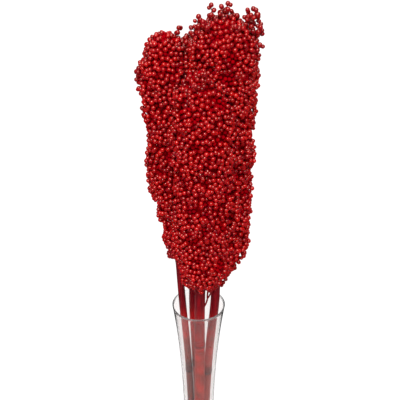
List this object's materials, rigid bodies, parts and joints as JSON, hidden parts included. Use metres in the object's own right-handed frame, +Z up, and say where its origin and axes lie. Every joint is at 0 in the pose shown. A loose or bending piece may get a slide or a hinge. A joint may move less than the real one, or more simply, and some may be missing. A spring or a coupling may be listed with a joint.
{
  "type": "sorghum seed head bunch in a vase",
  "caption": "Upright bunch of dyed sorghum seed heads on cut stems, packed all over with small round grains, standing in a flared clear glass vase.",
  "frame": {"origin": "on the vase's axis, in the flat underside of the foot that it stands on", "axes": "+Z up along the stems, -Y towards the viewer, -X to the viewer's left"},
  "size_m": [0.1089, 0.0978, 0.5342],
  "materials": {
    "clear_glass": "gloss",
    "dyed_grain": "satin",
    "dyed_stem": "satin"
  },
  "bodies": {
    "root": {"vase": "clear_glass", "head_left": "dyed_grain", "head_right": "dyed_grain", "head_front": "dyed_grain", "head_back": "dyed_grain", "stem_left": "dyed_stem", "stem_right": "dyed_stem", "stem_front": "dyed_stem", "stem_back": "dyed_stem"}
  },
  "joints": []
}
